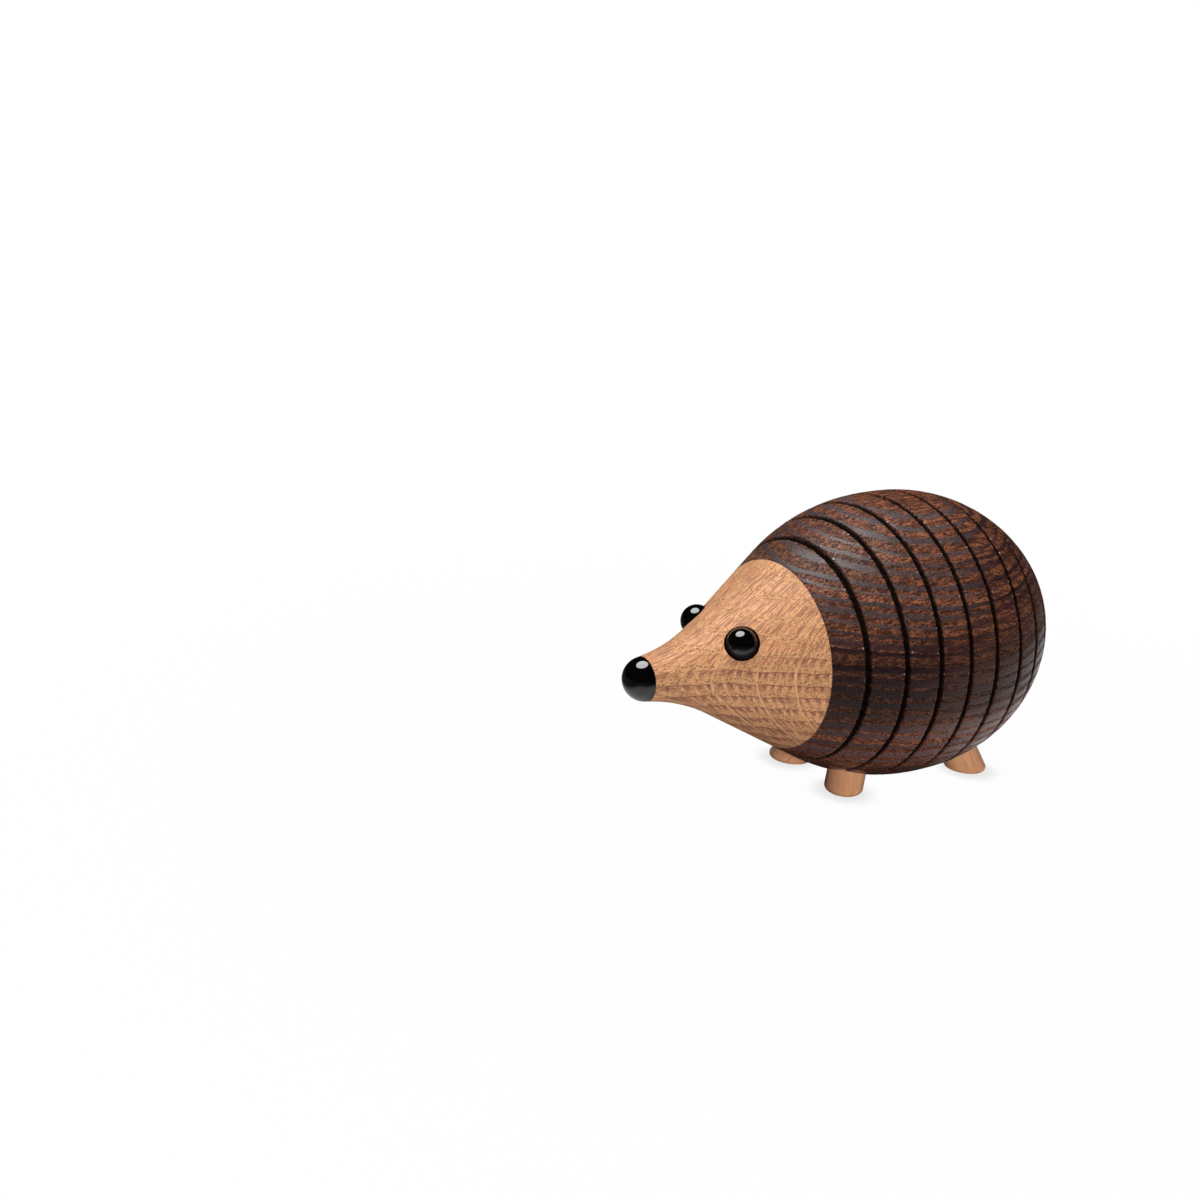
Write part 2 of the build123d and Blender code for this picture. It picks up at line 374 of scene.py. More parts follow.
def nose_profile(outline):
    """Nose from the end of its peg over the band to the tip of the dome."""
    head = settings().head
    peg = head.nose_peg_diameter / 2
    taper = head.snout_angle
    chamfer = settings().body.seam_chamfer
    band_end = outline.snout + head.nose_band_length
    band_radius = outline.snout_radius - head.nose_band_length * tan(taper)
    dome = band_radius / cos(taper)
    centre = band_end - dome * sin(taper)
    peg_end = outline.snout - head.nose_peg_length
    points = [(peg_end, 0.0), (peg_end, peg), (outline.snout, peg)]
    points.append((outline.snout, outline.snout_radius - chamfer))
    points.append((outline.snout + chamfer, outline.snout_radius - chamfer * tan(taper)))
    for i in range(CAP_STEPS * 2 + 1):
        turn = taper + (pi / 2 - taper) * i / (CAP_STEPS * 2)
        points.append((centre + dome * sin(turn), dome * cos(turn)))
    return points


def eye_profile():
    """Eye from the end of its shank round the bead; stations run outwards from the bead's centre."""
    head = settings().head
    bead = head.eye_diameter / 2
    shank = head.eye_shank_diameter / 2
    rim = sqrt(bead ** 2 - head.eye_sink ** 2)
    start = asin(shank / bead)
    shank_end = -bead - head.eye_shank_length
    points = [(shank_end, 0.0), (shank_end, shank)]
    for i in range(CAP_STEPS * 3 + 1):
        turn = start + (pi - start) * i / (CAP_STEPS * 3)
        station = -bead * cos(turn)
        radius = bead * sin(turn)
        dull = min(max((radius / rim - EYE_DULL_START) / EYE_DULL_RUN, 0.0), 1.0)
        points.append((station, radius, dull if station > 0 else 1.0))
    return points


# Node trees

def arithmetic(operation, turned_round=False):
    """An operator of Field that adds a math node."""
    def apply(self, other):
        values = (other, self) if turned_round else (self, other)
        return self.sheet.math(operation, *values)
    return apply


class Field:
    """A node's output, with plain arithmetic that adds further nodes."""

    __add__ = arithmetic("ADD")
    __sub__ = arithmetic("SUBTRACT")
    __rsub__ = arithmetic("SUBTRACT", True)
    __mul__ = arithmetic("MULTIPLY")
    __truediv__ = arithmetic("DIVIDE")
    largest = arithmetic("MAXIMUM")

    def __init__(self, sheet, socket):
        self.sheet = sheet
        self.socket = socket

    def step(self, low, high, start=0.0, end=1.0):
        """Smooth change from start to end as the value goes from low to high."""
        inputs = {"Value": self, "From Min": low, "From Max": high, "To Min": start, "To Max": end}
        return self.sheet.out("ShaderNodeMapRange", inputs, interpolation_type="SMOOTHSTEP")

    def fall(self, low, high):
        """Smooth change from 1 to 0."""
        return self.step(low, high, 1.0, 0.0)

    def band(self, low, full, drop, high):
        """Smooth change from 0 to 1 and back to 0."""
        return self.step(low, full) * self.fall(drop, high)


class NodeSheet:
    """Shorthand for laying out one node tree."""

    def __init__(self, tree):
        self.tree = tree
        tree.nodes.clear()

    def feed(self, socket, value):
        if isinstance(value, Field):
            self.tree.links.new(value.socket, socket)
        else:
            socket.default_value = value

    def add(self, kind, inputs=None, **options):
        node = self.tree.nodes.new(kind)
        for name, value in options.items():
            setattr(node, name, value)
        for key, value in (inputs or {}).items():
            self.feed(node.inputs[key], value)
        return node

    def out(self, kind, inputs=None, output=0, **options):
        """One output of a new node."""
        return Field(self, self.add(kind, inputs, **options).outputs[output])

    def outs(self, kind, inputs=None, **options):
        """All outputs of a new node, by name."""
        node = self.add(kind, inputs, **options)
        return {socket.name: Field(self, socket) for socket in node.outputs}

    def math(self, operation, *values):
        return self.out("ShaderNodeMath", dict(enumerate(values)), operation=operation)

    def vector(self, operation, *values, output="Vector"):
        return self.out("ShaderNodeVectorMath", dict(enumerate(values)), output, operation=operation)

    def scaled(self, vector, factor):
        """A vector times one number."""
        return self.out("ShaderNodeVectorMath", {0: vector, "Scale": factor}, operation="SCALE")

    def parts(self, vector):
        """The three numbers of a vector or colour."""
        return list(self.outs("ShaderNodeSeparateXYZ", {0: vector}).values())

    def noise(self, vector, stretch, detail=2.0, roughness=0.5):
        """Soft noise from 0 to 1, with its own number of waves per millimetre on each axis."""
        inputs = {"Vector": self.vector("MULTIPLY", vector, stretch), "Scale": 1.0}
        inputs.update({"Detail": detail, "Roughness": roughness})
        return self.out("ShaderNodeTexNoise", inputs, "Fac")

    def cells(self, vector, stretch):
        """Scattered cells, so many per millimetre: distance from the nearest middle, and its colour."""
        inputs = {"Vector": self.vector("MULTIPLY", vector, stretch), "Scale": 1.0}
        return self.outs("ShaderNodeTexVoronoi", inputs)

    def blend(self, factor, first, second, mode="MIX"):
        """Mix of two colours, where a word names a colour of the settings."""
        inputs = {0: factor, 6: first, 7: second}
        for key, value in inputs.items():
            if isinstance(value, str):
                inputs[key] = rgba(getattr(settings().colours, value))
        return self.out("ShaderNodeMix", inputs, 2, data_type="RGBA", blend_type=mode)


def rgba(value):
    return (*value, 1.0)


MERGE_DISTANCE = 0.001 * MM
CHIP_SEED = 7.0
CHIP_WAVES = (1.9, 1.9, 1.9)


def turning_tree():
    """Geometry nodes that turn a profile about an axis, as a lathe does, and chip its marked lips."""
    tree = bpy.data.node_groups.get("Turned piece")
    if tree:
        return tree
    tree = bpy.data.node_groups.new("Turned piece", "GeometryNodeTree")
    sheet = NodeSheet(tree)
    kinds = {
        "Profile": "Geometry",
        "Segments": "Int",
        "Axis origin": "Vector",
        "Axis direction": "Vector",
        "Side direction": "Vector",
        "Chip depth": "Float",
        "Chip seed": "Float",
        "Finish": "Material",
    }
    for name, kind in kinds.items():
        tree.interface.new_socket(name=name, in_out="INPUT", socket_type="NodeSocket" + kind)
    tree.interface.new_socket(name="Piece", in_out="OUTPUT", socket_type="NodeSocketGeometry")
    given = sheet.outs("NodeGroupInput")

    rows = sheet.out("GeometryNodeAttributeDomainSize", {0: given["Profile"]}, "Point Count")
    columns = given["Segments"] + 1.0
    grid = sheet.out("GeometryNodeMeshGrid", {"Vertices X": rows, "Vertices Y": columns}, "Mesh")
    index = sheet.out("GeometryNodeInputIndex")
    row = sheet.math("FLOOR", (index + 0.5) / columns)
    turn = (index - row * columns) / given["Segments"] * (2 * pi)

    place = sheet.out("GeometryNodeInputPosition")
    picked = {"Geometry": given["Profile"], "Value": place, "Index": row}
    spot = sheet.out("GeometryNodeSampleIndex", picked, data_type="FLOAT_VECTOR")
    station, radius, lip = sheet.parts(spot)
    across = sheet.vector("CROSS_PRODUCT", given["Axis direction"], given["Side direction"])
    along = sheet.scaled(given["Axis direction"], station)
    sideways = sheet.scaled(given["Side direction"], radius * sheet.math("COSINE", turn))
    upwards = sheet.scaled(across, radius * sheet.math("SINE", turn))
    point = sheet.vector("ADD", given["Axis origin"], along)
    point = sheet.vector("ADD", point, sheet.vector("ADD", sideways, upwards))

    shift = sheet.out("ShaderNodeCombineXYZ", {"X": given["Chip seed"], "Z": given["Chip seed"]})
    fibres = sheet.vector("ADD", sheet.scaled(place, 1 / MM), shift)
    torn = sheet.noise(fibres, CHIP_WAVES, 3.0, 0.65).step(0.42, 0.72)
    worn = sheet.out("GeometryNodeInputNamedAttribute", {"Name": "lip"}, "Attribute", data_type="FLOAT")
    depth = sheet.math("PINGPONG", worn, 1.0) * torn * given["Chip depth"]
    inwards = sheet.scaled(sheet.out("GeometryNodeInputNormal"), depth * -1.0)

    marked = {"Geometry": grid, "Name": "lip", "Value": lip}
    mesh = sheet.out("GeometryNodeStoreNamedAttribute", marked, data_type="FLOAT", domain="POINT")
    steps = (
        ("SetPosition", {"Position": point}),
        ("MergeByDistance", {"Distance": MERGE_DISTANCE}),
        ("FlipFaces", {}),
        ("SetPosition", {"Offset": inwards}),
        ("SetShadeSmooth", {}),
        ("RealizeInstances", {}),
        ("SetMaterial", {"Material": given["Finish"]}),
    )
    for kind, inputs in steps:
        mesh = sheet.out("GeometryNode" + kind, {0: mesh, **inputs})
    sheet.add("NodeGroupOutput", {0: mesh})
    return tree


# Making pieces

SHARP_EDGE = radians(35)
BODY_SEGMENTS = 540
HEAD_SEGMENTS = 288
SMALL_SEGMENTS = 128


def new_object(name, mesh):
    """Objects stand at the origin, with their place in the mesh."""
    piece = bpy.data.objects.new(name, mesh)
    bpy.context.scene.collection.objects.link(piece)
    return piece


def turned(name, profile, origin, direction, side, segments, finish, chip_depth=0.0):
    """A turned piece that is still to be baked; profile points are (station, radius) or with a lip."""
    mesh = bpy.data.meshes.new(name)
    mesh.from_pydata([(*point, 0.0)[:3] for point in profile], [], [])
    piece = new_object(name, mesh)
    modifier = piece.modifiers.new("Turning", "NODES")
    modifier.node_group = turning_tree()
    values = {
        "Segments": segments,
        "Axis origin": origin,
        "Axis direction": direction,
        "Side direction": side,
        "Chip depth": chip_depth,
        "Chip seed": CHIP_SEED,
        "Finish": finish,
    }
    for item in modifier.node_group.interface.items_tree:
        if item.in_out == "INPUT" and item.name in values:
            modifier[item.identifier] = values[item.name]
    return piece


def bake(piece):
    """Turns a piece's modifiers into a plain mesh."""
    depsgraph = bpy.context.evaluated_depsgraph_get()
    shaped = piece.evaluated_get(depsgraph)
    mesh = bpy.data.meshes.new_from_object(shaped, preserve_all_data_layers=True, depsgraph=depsgraph)
    piece.modifiers.clear()
    profile = piece.data
    piece.data = mesh
    mesh.name = piece.name
    bpy.data.meshes.remove(profile)
    mesh.set_sharp_from_angle(angle=SHARP_EDGE)
    return piece


def drill(piece, cutters):
    """Cuts closed shapes out of a piece and bakes it."""
    for shape in (piece, *cutters):
        bake(shape)
    for cutter in cutters:
        modifier = piece.modifiers.new("Bore", "BOOLEAN")
        modifier.operation = "DIFFERENCE"
        modifier.solver = "MANIFOLD"
        modifier.material_mode = "TRANSFER"
        modifier.object = cutter
    bake(piece)
    for cutter in cutters:
        mesh = cutter.data
        bpy.data.objects.remove(cutter)
        bpy.data.meshes.remove(mesh)


def hand_over(piece, node):
    """The piece stands for a CAD node on the one body."""
    if not piece.data.polygons:
        raise RuntimeError(f"{piece.name} came out empty")
    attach(piece, "root")
    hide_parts(node)


# Materials; patterns are laid out in millimetres

STAIN_RELIEF = 0.12 * MM
OAK_RELIEF = 0.16 * MM
FINE_RELIEF = 0.05 * MM
LACQUER_RELIEF = 0.004 * MM
DOWEL_IOR = 1.45


def finish_sheet(name):
    """Empty node sheet of a new material."""
    material = bpy.data.materials.new(name)
    material.use_nodes = True
    sheet = NodeSheet(material.node_tree)
    sheet.material = material
    return sheet


def lathe_space(sheet, outline):
    """Object coordinates in millimetres about the lathe axis: X left, Y to the tail, Z up."""
    inputs = {
        "Vector": sheet.out("ShaderNodeTexCoord", output="Object"),
        "Location": outline.crown,
        "Rotation": (settings().body.nose_down_angle, 0.0, 0.0),
        "Scale": (MM, MM, MM),
    }
    return sheet.out("ShaderNodeMapping", inputs, vector_type="TEXTURE")


def finish(sheet, inputs, height, relief):
    """Closes a material with a shader and its relief in metres."""
    bump = {"Strength": 1.0, "Distance": relief, "Height": height}
    inputs["Normal"] = sheet.out("ShaderNodeBump", bump)
    shader = sheet.out("ShaderNodeBsdfPrincipled", inputs)
    sheet.add("ShaderNodeOutputMaterial", {"Surface": shader})
    return sheet.material


STAIN_RINGS = 0.38
STAIN_TOP = 9.5
STAIN_TOP_RINGS = 0.26
STAIN_BOW = 0.003


def stained_wood(outline):
    """Dark stained open-pored wood: level growth layers, fibre along the lathe axis.

    Its tone follows the height above the axis: a painted grey sheen on the front of the back and low on the
    flank, painted shade at mid-height, plum towards the tail, painted light low on the flank and painted
    shade at the bottom.
    """
    sheet = finish_sheet("dark stained wood")
    place = lathe_space(sheet, outline)
    left, back, up = sheet.parts(place)

    bend = sheet.noise(place, (0.03, 0.012, 0.03)) - 0.5
    ripple = sheet.noise(place, (0.16, 0.035, 0.16)) - 0.5
    layer = up + left * left * STAIN_BOW + bend * 5.0 + ripple * 1.3
    uneven = sheet.noise(sheet.out("ShaderNodeCombineXYZ", {"X": layer}), (0.3, 0.0, 0.0), 1.0)
    layer = layer + uneven * 2.8
    fine = (layer - STAIN_TOP).largest(0.0)
    ragged = sheet.noise(place, (2.2, 0.45, 2.2), 3.0, 0.6) - 0.5
    ring = layer * STAIN_RINGS + fine * STAIN_TOP_RINGS + ragged * 0.26
    phase = sheet.math("FRACT", ring)
    ring_number = {"W": sheet.math("FLOOR", ring)}
    odd = sheet.out("ShaderNodeTexWhiteNoise", ring_number, "Color", noise_dimensions="1D")
    odd_share, odd_tone, odd_slate = sheet.parts(odd)
    porous_share = up.step(8.0, 11.0, 0.36, 0.55) + up.step(-6.0, 0.0, 0.1, 0.0) + (odd_share - 0.5) * 0.3
    ramp = up.step(8.0, 11.0, 0.17, 0.07)
    dense = (phase - porous_share).step(-0.07, ramp) * phase.fall(0.955, 1.0)
    porous = 1.0 - dense

    fibre = sheet.noise(place, (5.5, 0.3, 5.5), 3.0, 0.6)
    tone = sheet.noise(place, (1.4, 0.2, 1.4), 3.0, 0.6)
    dash = sheet.noise(place, (2.2, 0.6, 2.2), 2.0, 0.55)
    grit = sheet.noise(place, (4.4, 1.9, 4.4), 2.0, 0.6)
    gash = sheet.noise(place, (2.4, 0.22, 2.4)).step(0.6, 0.68) * porous
    vessel = sheet.cells(place, (3.4, 1.25, 3.4))["Distance"] - (dash - 0.5) * 0.8
    pore = vessel.fall(0.26, 0.42) * porous.step(0.1, 0.8, 0.08, 1.0)
    open_pore = pore.largest(gash * 0.7)

    rust = tone.step(0.4, 0.62) * up.step(-4.0, 8.0, 0.72, 1.0) * up.step(-18.0, -8.0, 0.55, 1.0)
    brown = sheet.blend(rust, "stain_brown", "stain_rust")
    rear = (back - up * 0.6).step(-20.0, -3.0)
    plum = up.step(-20.0, -10.0, 0.5, 1.0) * up.fall(6.0, 14.0) * rear
    # Painted sheen: latewood turns a lighter grey on the front of the back and low on the flank
    painted_sheen = up.step(6.0, 13.0) * (1.0 - rear) + up.step(-14.0, -4.0, 0.45, 0.0)
    late = sheet.blend(plum, "stain_slate", "stain_plum")
    late = sheet.blend(painted_sheen, late, "stain_painted_sheen")
    wood = sheet.blend(dense * odd_slate.step(0.0, 1.0, 0.8, 1.0), brown, late)
    grain_tone_and_painted_light = fibre.step(0.3, 0.7, 0.72, 1.28) * odd_tone.step(0.0, 1.0, 0.7, 1.15)
    # Painted light and shade by height: darker at mid-height, up to 3.6 times lighter low on the flank,
    # darker again at the very bottom
    grain_tone_and_painted_light = grain_tone_and_painted_light * up.step(4.0, 12.0, 0.49, 1.0) * up.step(-16.0, -4.0, 3.6, 1.0)
    grain_tone_and_painted_light = grain_tone_and_painted_light * up.step(-27.0, -19.0, 0.4, 1.0) * grit.step(0.36, 0.64, 0.62, 1.42)
    grain_tone_and_painted_light = sheet.out("ShaderNodeCombineColor", {0: grain_tone_and_painted_light, 1: grain_tone_and_painted_light, 2: grain_tone_and_painted_light})
    wood = sheet.blend(1.0, wood, grain_tone_and_painted_light, "MULTIPLY")
    wood = sheet.blend(open_pore * 0.8, wood, "stain_pore_and_groove_shade")

    lip = sheet.out("ShaderNodeAttribute", output="Fac", attribute_name="lip")
    edge = sheet.math("PINGPONG", lip, 1.0)
    crumbs = sheet.cells(place, (0.8, 0.8, 0.8))
    chosen = sheet.parts(crumbs["Color"])[0].step(0.35, 0.4) * up.step(-4.0, 8.0, 0.25, 1.0)
    speck = crumbs["Distance"].fall(0.1, 0.19) * chosen * edge.step(0.2, 0.9)
    raw = tone.step(0.55, 0.7) * edge.step(0.4, 1.0, 0.0, 0.55)
    wood = sheet.blend(raw, wood, "stain_rust")
    wood = sheet.blend(speck, wood, "stain_speck")
    # Painted shade in the grooves: their walls and floors go near black
    wood = sheet.blend(lip.step(1.02, 1.3, 0.0, 0.95), wood, "stain_pore_and_groove_shade")

    rough = porous * 0.22 + 0.27 + open_pore * 0.25
    height = open_pore * -1.0 - porous * 0.3 + fibre * 0.3 + grit * 0.35
    inputs = {"Base Color": wood, "Roughness": rough, "IOR": 1.46, "Specular IOR Level": 0.26}
    return finish(sheet, inputs, height, STAIN_RELIEF)


OAK_RING = 2.8
OAK_BIG_RAY_PITCH = 4.1
OAK_RAYS = 1.18


def oak_wood(outline):
    """Oiled oak: level growth layers with rows of pits, and upright rays that show as arcs on the flank."""
    sheet = finish_sheet("oiled oak")
    place = lathe_space(sheet, outline)
    left, _, up = sheet.parts(place)
    height_share = up / sheet.math("SQRT", left * left + up * up)
    on_flank = height_share.fall(0.12, 0.42)
    on_top = height_share.step(0.18, 0.5)
    below = height_share.step(-0.75, -0.35, 0.52, 0.0)

    bend = sheet.noise(place, (0.05, 0.015, 0.05)) - 0.5
    ripple = sheet.noise(place, (0.5, 0.12, 0.5)) - 0.5
    phase = sheet.math("FRACT", (up + bend * 3.5 + ripple * 1.3) / OAK_RING)
    late = phase.band(0.1, 0.95, 0.97, 1.0)
    early = phase.band(0.0, 0.06, 0.32, 0.52)
    line = phase.band(0.82, 0.92, 0.96, 1.0)

    sway = sheet.noise(place, (0.07, 0.02, 0.07)) - 0.5
    turn = sheet.math("ABSOLUTE", left) + sway * 2.4 + 0.9
    turn = sheet.math("FRACT", turn / OAK_BIG_RAY_PITCH)
    big_ray = turn.band(0.0, 0.02, 0.045, 0.08) * on_flank
    ray_edge = turn.band(0.075, 0.1, 0.12, 0.16) * on_flank
    wander = sheet.noise(place, (0.3, 0.03, 0.22)) - 0.5
    wave = sheet.math("SINE", (left * OAK_RAYS + wander * 1.6) * (2 * pi))
    broken = sheet.noise(place, (1.9, 0.08, 0.7)) - 0.5
    ray = (broken * 4.6 + wave).step(-0.5, 0.7)
    dash = sheet.noise(place, (3.8, 0.13, 0.36)).step(0.5, 0.58)
    hair = sheet.noise(place, (6.0, 0.4, 3.0))
    patch = sheet.noise(place, (0.1, 0.16, 0.3)).step(0.4, 0.58, 0.88, 1.0)

    wood = sheet.blend(hair.step(0.36, 0.64), "oak_honey", "oak_cream_and_pit_highlight")
    teeth = late * (1.0 - ray * 0.9) * patch * hair.step(0.34, 0.66, 1.2, 0.7)
    brown = teeth.largest(line * 0.7) * (1.12 - on_top * 0.72)
    brown = brown.largest(dash * (on_top * 0.25 + 0.48 + below)).largest(ray_edge * 0.6)
    wood = sheet.blend(brown, wood, "oak_streak")
    vessels = sheet.cells(place, (2.6, 1.2, 2.6))
    depth = sheet.parts(vessels["Color"])[0].step(0.1, 0.8, 0.35, 1.0)
    pits = vessels["Distance"].fall(0.3, 0.45) * early * depth
    # Painted highlight: a pale rim round each pit for its lit edge, which also gets relief
    rims = vessels["Distance"].fall(0.5, 0.68) * early
    wood = sheet.blend(rims * 0.9, wood, "oak_cream_and_pit_highlight")
    wood = sheet.blend(pits * 0.8, wood, "oak_pore")
    wood = sheet.blend(big_ray * 0.85, wood, "oak_cream_and_pit_highlight")

    rough = brown.step(0.0, 1.0, 0.5, 0.62)
    height = hair * 0.3 - pits * 1.4 + rims * 0.4 - brown * 0.35 + big_ray * 0.25
    inputs = {"Base Color": wood, "Roughness": rough, "Specular IOR Level": 0.3}
    return finish(sheet, inputs, height, OAK_RELIEF)


def seat_shade_oak():
    """Drilled seat's bottom and wall, painted dark as the shade in the seat, with spots of pore colour."""
    sheet = finish_sheet("oak seat shade")
    place = sheet.scaled(sheet.out("ShaderNodeTexCoord", output="Object"), 1 / MM)
    grain = sheet.noise(place, (3.0, 3.0, 3.0), 3.0)
    wood = sheet.blend(grain.step(0.3, 0.7), "oak_seat_shade", "oak_pore")
    return finish(sheet, {"Base Color": wood, "Roughness": 0.7}, grain, FINE_RELIEF)


def dowel_wood():
    """Straight-grained dowel; the grain attribute holds millimetres across and along the dowel."""
    sheet = finish_sheet("oak dowel")
    place = sheet.out("ShaderNodeAttribute", output="Vector", attribute_name="grain")
    streak = sheet.noise(place, (1.1, 1.1, 0.05), 4.0, 0.6)
    hair = sheet.noise(place, (4.5, 4.5, 0.22), 3.0, 0.6)
    pits = sheet.noise(place, (3.6, 3.6, 0.45), 1.0).step(0.66, 0.75)
    plank = sheet.noise(place, (0.35, 0.35, 0.02), 1.0).step(0.46, 0.6, 0.0, 0.4)
    brown = streak.step(0.5, 0.66, 0.0, 0.75).largest(plank)
    # The tan is lighter than the wood itself: painted light on the feet
    wood = sheet.blend(hair.step(0.4, 0.8, 0.0, 0.6), "dowel_tan_and_painted_light", "oak_cream_and_pit_highlight")
    wood = sheet.blend(brown, wood, "dowel_streak")
    wood = sheet.blend(pits * 0.5, wood, "oak_pore")
    rough = streak.step(0.3, 0.8, 0.46, 0.58)
    height = hair * 0.4 - pits
    return finish(sheet, {"Base Color": wood, "Roughness": rough, "IOR": DOWEL_IOR}, height, FINE_RELIEF)


def hidden_dowel_wood(outline):
    """The same dowel inside the neck, on the CAD node's own mesh."""
    sheet = finish_sheet("neck dowel oak")
    streak = sheet.noise(lathe_space(sheet, outline), (1.1, 0.05, 1.1), 4.0, 0.6)
    wood = sheet.blend(streak.step(0.5, 0.72, 0.0, 0.9), "dowel_tan_and_painted_light", "dowel_streak")
    return finish(sheet, {"Base Color": wood, "Roughness": 0.55, "IOR": DOWEL_IOR}, streak, FINE_RELIEF)


HAZE_GAIN = 1.6
FULL_SHINE = 0.5


def black_gloss(outline, dull_rim=False):
    """Polished black with faint waves in the lacquer; the rim of an eye may be dull low down."""
    sheet = finish_sheet("polished black")
    place = lathe_space(sheet, outline)
    wave = sheet.noise(place, (0.5, 0.5, 0.5), 1.0)
    haze = sheet.noise(place, (1.8, 1.8, 1.8), 3.0)
    hazy = rgba([part * HAZE_GAIN for part in settings().colours.gloss_black])
    black = sheet.blend(haze, "gloss_black", hazy)
    rough = haze.step(0.35, 0.8, 0.035, 0.085)
    shine = FULL_SHINE
    if dull_rim:
        eye_height = (eye_axes(outline)["eye_left"][0] - outline.crown).dot(outline.top) / MM
        low = sheet.parts(place)[2].fall(eye_height + 0.8, eye_height + 2.0)
        dull = sheet.out("ShaderNodeAttribute", output="Fac", attribute_name="lip") * low
        rough = rough + dull * 0.45
        shine = shine - dull * 0.42
    inputs = {"Base Color": black, "Roughness": rough, "IOR": 1.7, "Specular IOR Level": shine}
    return finish(sheet, inputs, wave, LACQUER_RELIEF)


SHADE_START = 0.8


def white_paper(outline):
    """White floor: the camera sees it lifted to white, with a soft shadow left and a shadow painted round
    each foot.

    Polished pieces see painted reflections of it: white round the object, and dark towards the camera, to
    the camera's left and far off.
    """
    studio = settings().studio
    towards, rightwards = camera_axes()
    sheet = finish_sheet("white paper")
    rays = sheet.outs("ShaderNodeLightPath")
    seen = rays["Is Camera Ray"].largest(rays["Is Transmission Ray"])
    place = sheet.out("ShaderNodeTexCoord", output="Object")
    away = sheet.vector("LENGTH", place, output="Value")
    ahead = sheet.vector("DOT_PRODUCT", place, towards, output="Value")
    aside = sheet.vector("DOT_PRODUCT", place, rightwards, output="Value")

    lift = away.step(0.06, 0.25, studio.floor_lift, 1.0)
    edge = settings().feet.foot_diameter / 2 * SHADE_START
    # Painted shadow: the floor the camera sees darkens round each foot's contact
    for contact, *_ in foot_axes(outline).values():
        apart = sheet.vector("DISTANCE", place, contact, output="Value")
        lift = lift * apart.step(edge, edge + studio.foot_shadow_reach, 1.0 - studio.foot_shadow, 1.0)
    # Painted reflection: glossy rays see white only near the object, not towards the camera nor far to its
    # left
    mirrored = rays["Is Glossy Ray"] * away.step(0.02, 0.05, 0.0, 0.8) * away.step(0.12, 0.3, 1.0, 0.1)
    mirrored = mirrored * aside.step(-0.085, -0.055) * ahead.fall(0.03, 0.14)

    # Dark beyond the front edge; for glossy rays dark all over outside the white patch, a painted dark
    # reflection
    table = ahead.step(0.12, 0.25).largest(rays["Is Glossy Ray"])
    floor_colour = sheet.blend(table, "paper_white", "table_and_reflection_dark")
    inputs = {"Base Color": floor_colour, "Roughness": 0.9, "Specular IOR Level": 0.1}
    paper = sheet.out("ShaderNodeBsdfPrincipled", inputs)
    white = sheet.out("ShaderNodeEmission", {"Color": (1, 1, 1, 1), "Strength": 1.0})
    white_share = (seen * lift).largest(mirrored)
    mixed = sheet.out("ShaderNodeMixShader", {0: white_share, 1: paper, 2: white})
    sheet.add("ShaderNodeOutputMaterial", {"Surface": mixed})
    return sheet.material


# Places of eyes and feet

def eye_axes(outline):
    """Bead centre and outward direction of each eye, by CAD node."""
    head = settings().head
    station = outline.snout - head.eye_back
    slope = outline.flank
    if station > outline.flare_start:
        slope = asin((outline.flare_centre - station) / outline.flare_radius)
    axes = {}
    for node, side in (("eye_left", 1), ("eye_right", -1)):
        radial = LEFT * side * cos(head.eye_raise_angle) + outline.top * sin(head.eye_raise_angle)
        outward = radial * cos(slope) + outline.forward * sin(slope)
        surface = outline.crown + outline.forward * station + radial * outline.at(station)
        axes[node] = (surface - outward * head.eye_sink, outward)
    return axes


def foot_axes(outline):
    """Contact point, outward heading and upward lean of each foot, by CAD node."""
    feet = settings().feet
    axes = {}
    for end_name, end, reach in (("front", -1, feet.front_foot_reach), ("rear", 1, feet.rear_foot_reach)):
        for side_name, side in (("left", 1), ("right", -1)):
            heading = feet.foot_heading_angle
            outward = Vector((side * sin(heading), end * cos(heading), 0))
            upward = UP * cos(feet.foot_splay_angle) - outward * sin(feet.foot_splay_angle)
            contact = Vector((side * feet.foot_spread, outline.crown.y + end * reach, 0))
            axes[f"foot_{end_name}_{side_name}"] = (contact, outward, upward)
    return axes


def foot_bore():
    """Radius and length of a foot's bore, from the table up."""
    feet = settings().feet
    radius = feet.foot_diameter / 2 + settings().head.glue_gap
    lean = sin(feet.foot_splay_angle) * sin(feet.foot_heading_angle)
    reach = feet.foot_spread - feet.foot_bore_wall / 2 - radius * sqrt(1 - lean**2)
    return radius, reach / lean


FOOT_SEGMENTS = 112
FOOT_EDGE_STEPS = 9
FOOT_SIDE_STEPS = 12
FOOT_FLAT_SHARES = (0.35, 0.7)
GRAIN_SHIFT = Vector((11.3, 4.7, 23.0))


